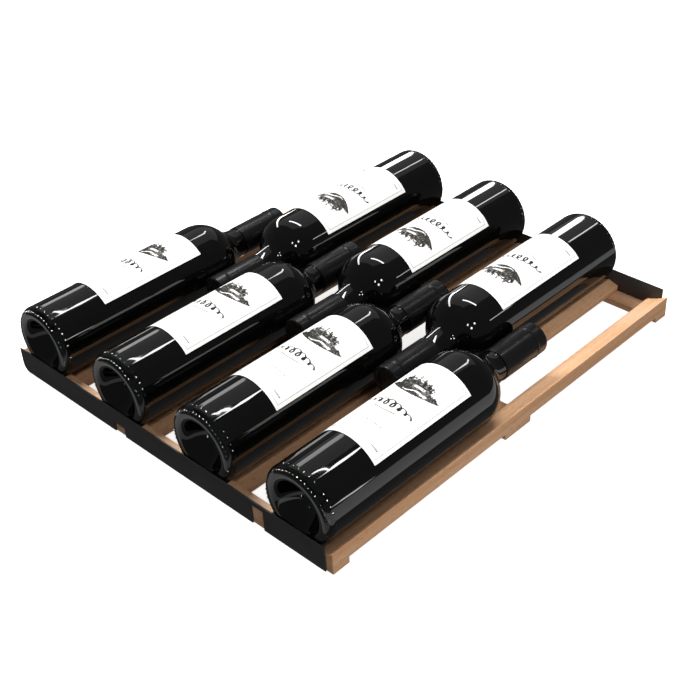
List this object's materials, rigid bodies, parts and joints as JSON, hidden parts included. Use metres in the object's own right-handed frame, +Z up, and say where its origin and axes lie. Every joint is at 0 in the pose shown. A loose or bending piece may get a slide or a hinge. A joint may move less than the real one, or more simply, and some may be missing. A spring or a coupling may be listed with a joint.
{
  "type": "loaded wine cooler shelf",
  "caption": "Slatted beech pull-out shelf with a black front trim and rear stop, holding dark Bordeaux bottles laid head to tail in its cradles.",
  "frame": {"origin": "centre of the footprint, on the surface that the shelf's feet and trim rest on", "axes": "+Z up, -Y towards the black front trim, +X to the right of someone facing that trim"},
  "size_m": [0.4228, 0.483, 0.0835],
  "materials": {
    "beech": "satin oiled",
    "black_metal": "satin powder coat",
    "zinc_screw": "zinc plated",
    "dark_glass": "glossy near-black bottle glass",
    "wine": "still red liquid",
    "cork": "natural cork",
    "capsule": "satin black shrink capsule",
    "label": "uncoated printed paper"
  },
  "bodies": {
    "shelf": {"front_board": "beech", "front_cross_slat": "beech", "front_trim": "black_metal", "left_side_rail": "beech", "middle_cross_slat": "beech", "rear_cross_slat": "beech", "rear_stop": "black_metal", "rear_stop_screw_1": "zinc_screw", "rear_stop_screw_2": "zinc_screw", "rear_stop_screw_3": "zinc_screw", "rear_stop_screw_4": "zinc_screw", "right_side_rail": "beech", "support_bar_1": "beech", "support_bar_2": "beech", "support_bar_3": "beech", "support_bar_4": "beech", "support_bar_5": "beech", "support_bar_6": "beech"},
    "front_bottle_1": {"front_bottle_1_glass_body": "dark_glass", "front_bottle_1_glass_neck": "dark_glass", "front_bottle_1_wine": "wine", "front_bottle_1_cork": "cork", "front_bottle_1_capsule": "capsule", "front_bottle_1_label": "label"},
    "front_bottle_2": {"front_bottle_2_glass_body": "dark_glass", "front_bottle_2_glass_neck": "dark_glass", "front_bottle_2_wine": "wine", "front_bottle_2_cork": "cork", "front_bottle_2_capsule": "capsule", "front_bottle_2_label": "label"},
    "front_bottle_3": {"front_bottle_3_glass_body": "dark_glass", "front_bottle_3_glass_neck": "dark_glass", "front_bottle_3_wine": "wine", "front_bottle_3_cork": "cork", "front_bottle_3_capsule": "capsule", "front_bottle_3_label": "label"},
    "front_bottle_4": {"front_bottle_4_glass_body": "dark_glass", "front_bottle_4_glass_neck": "dark_glass", "front_bottle_4_wine": "wine", "front_bottle_4_cork": "cork", "front_bottle_4_capsule": "capsule", "front_bottle_4_label": "label"},
    "rear_bottle_1": {"rear_bottle_1_glass_body": "dark_glass", "rear_bottle_1_glass_neck": "dark_glass", "rear_bottle_1_wine": "wine", "rear_bottle_1_cork": "cork", "rear_bottle_1_capsule": "capsule", "rear_bottle_1_label": "label"},
    "rear_bottle_2": {"rear_bottle_2_glass_body": "dark_glass", "rear_bottle_2_glass_neck": "dark_glass", "rear_bottle_2_wine": "wine", "rear_bottle_2_cork": "cork", "rear_bottle_2_capsule": "capsule", "rear_bottle_2_label": "label"},
    "rear_bottle_3": {"rear_bottle_3_glass_body": "dark_glass", "rear_bottle_3_glass_neck": "dark_glass", "rear_bottle_3_wine": "wine", "rear_bottle_3_cork": "cork", "rear_bottle_3_capsule": "capsule", "rear_bottle_3_label": "label"}
  },
  "joints": [
    {"name": "front_bottle_1_lift", "type": "slide", "parent": "shelf", "child": "front_bottle_1", "axis": [0, 0, 1], "range_m": [0, 0.12]},
    {"name": "front_bottle_2_lift", "type": "slide", "parent": "shelf", "child": "front_bottle_2", "axis": [0, 0, 1], "range_m": [0, 0.12]},
    {"name": "front_bottle_3_lift", "type": "slide", "parent": "shelf", "child": "front_bottle_3", "axis": [0, 0, 1], "range_m": [0, 0.12]},
    {"name": "front_bottle_4_lift", "type": "slide", "parent": "shelf", "child": "front_bottle_4", "axis": [0, 0, 1], "range_m": [0, 0.12]},
    {"name": "rear_bottle_1_lift", "type": "slide", "parent": "shelf", "child": "rear_bottle_1", "axis": [0, 0, 1], "range_m": [0, 0.12]},
    {"name": "rear_bottle_2_lift", "type": "slide", "parent": "shelf", "child": "rear_bottle_2", "axis": [0, 0, 1], "range_m": [0, 0.12]},
    {"name": "rear_bottle_3_lift", "type": "slide", "parent": "shelf", "child": "rear_bottle_3", "axis": [0, 0, 1], "range_m": [0, 0.12]}
  ]
}
